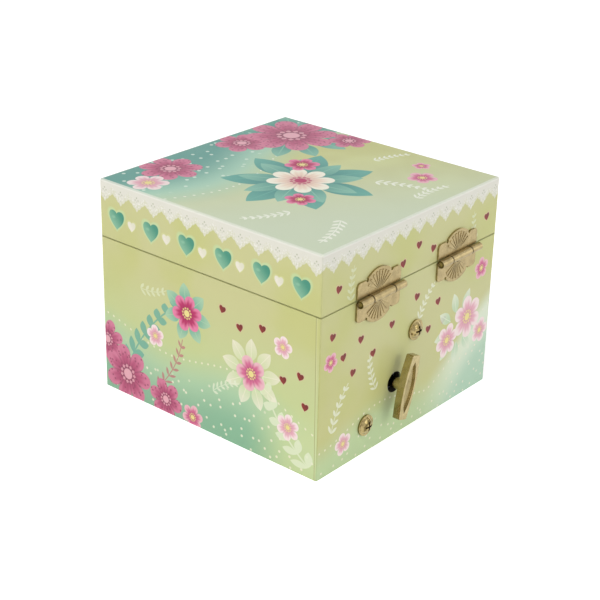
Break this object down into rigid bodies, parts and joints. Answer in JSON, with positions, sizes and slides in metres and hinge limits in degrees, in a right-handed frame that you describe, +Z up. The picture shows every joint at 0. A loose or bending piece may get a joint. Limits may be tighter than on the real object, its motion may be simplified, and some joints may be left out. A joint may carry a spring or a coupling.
{
  "type": "ballerina jewellery box",
  "caption": "Cube-shaped musical jewellery box with a hinged lid, a lined compartment, a winding key at the back and a dancer that turns on a stage over a comb-and-cylinder movement.",
  "frame": {"origin": "centre of the box's underside, in the plane that it rests on", "axes": "+Z up, +Y towards the hinges and the winding key, +X to the right seen from the front"},
  "size_m": [0.105, 0.114, 0.086],
  "materials": {
    "printed_paper": "satin printed paper over fibreboard",
    "plain_wood": "bare pale wood",
    "base_board": "bare fibreboard",
    "flock": "flocked board",
    "antique_brass": "satin antique brass",
    "polished_brass": "polished",
    "key_brass": "satin pale brass",
    "wheel_brass": "machined",
    "zinc": "cast",
    "steel": "plated",
    "spring_steel": "tempered",
    "white_plastic": "moulded",
    "mirror_glass": "silvered",
    "frame_card": "printed card",
    "figure": "painted",
    "tulle": "tulle"
  },
  "bodies": {
    "base": {"base_case": "printed_paper", "bottom_board": "base_board", "partition": "flock", "stage_board": "flock", "stage_ledge_left": "plain_wood", "stage_ledge_right": "plain_wood", "compartment_lining": "flock", "hinge_base_leaf_left": "antique_brass", "hinge_base_leaf_right": "antique_brass", "hinge_pin_left": "antique_brass", "hinge_pin_right": "antique_brass", "mounting_screws": "polished_brass", "bedplate": "zinc", "spring_barrel": "steel", "barrel_cover": "steel", "mainspring": "spring_steel", "comb": "spring_steel", "comb_screws": "steel", "cylinder_bracket_inner": "steel", "cylinder_bracket_outer": "steel", "governor_cock": "steel", "spindle_bracket": "steel", "bracket_screws": "steel", "stage_bush": "polished_brass", "plunger_bush": "polished_brass", "plunger_guide": "plain_wood", "plunger_spring": "spring_steel"},
    "lid": {"lid_case": "printed_paper", "lid_mirror": "mirror_glass", "mirror_frame": "frame_card", "hinge_lid_leaf_left": "antique_brass", "hinge_lid_leaf_right": "antique_brass", "lid_striker": "plain_wood"},
    "winding": {"winding_key": "key_brass", "winding_arbor": "wheel_brass", "great_wheel": "wheel_brass", "clutch_spring": "spring_steel", "clutch_cap": "wheel_brass"},
    "cylinder": {"music_cylinder": "wheel_brass", "cylinder_arbor": "steel", "cylinder_pinion": "wheel_brass", "cylinder_end_wheel": "wheel_brass"},
    "governor": {"governor_arbor": "steel", "governor_wheel": "white_plastic", "governor_pinion": "wheel_brass"},
    "fan": {"worm_shaft": "wheel_brass", "air_brake": "white_plastic"},
    "dancer": {"dancer_spindle": "steel", "spindle_pinion": "white_plastic", "turntable": "white_plastic", "dancer_spring": "spring_steel", "dancer_figure": "figure", "dancer_tutu": "tulle"},
    "plunger": {"stop_plunger": "steel"}
  },
  "joints": [
    {"name": "lid_hinge", "type": "hinge", "parent": "base", "child": "lid", "pos_m": [0, 0.0552, 0.06235], "axis": [-1, 0, 0], "range_deg": [0, 100]},
    {"name": "cylinder_spin", "type": "hinge", "parent": "base", "child": "cylinder", "pos_m": [-0.0136, 0.03142, 0.0225], "axis": [1, 0, 0], "continuous": true},
    {"name": "winding_spin", "type": "hinge", "parent": "base", "child": "winding", "pos_m": [0.0087, 0.048, 0.0225], "axis": [0, 1, 0], "continuous": true},
    {"name": "governor_spin", "type": "hinge", "parent": "base", "child": "governor", "pos_m": [-0.0265, 0.03942, 0.0225], "axis": [1, 0, 0], "continuous": true},
    {"name": "fan_spin", "type": "hinge", "parent": "base", "child": "fan", "pos_m": [-0.02806, 0.03202, 0.0225], "axis": [0, 0, 1], "continuous": true},
    {"name": "dancer_spin", "type": "hinge", "parent": "base", "child": "dancer", "pos_m": [0.0087, 0.03142, 0.048], "axis": [0, 0, 1], "continuous": true},
    {"name": "plunger_slide", "type": "slide", "parent": "base", "child": "plunger", "axis": [0, 0, 1], "range_m": [0, 0.0036], "deforming": ["plunger_spring"]}
  ],
  "couplings": [
    {"joint": "winding_spin", "follows": "cylinder_spin", "ratio": 0.33333},
    {"joint": "governor_spin", "follows": "cylinder_spin", "ratio": -4},
    {"joint": "fan_spin", "follows": "cylinder_spin", "ratio": -48},
    {"joint": "dancer_spin", "follows": "cylinder_spin", "ratio": -1},
    {"joint": "plunger_slide", "follows": "lid_hinge", "m_per_rad": 0.002}
  ]
}
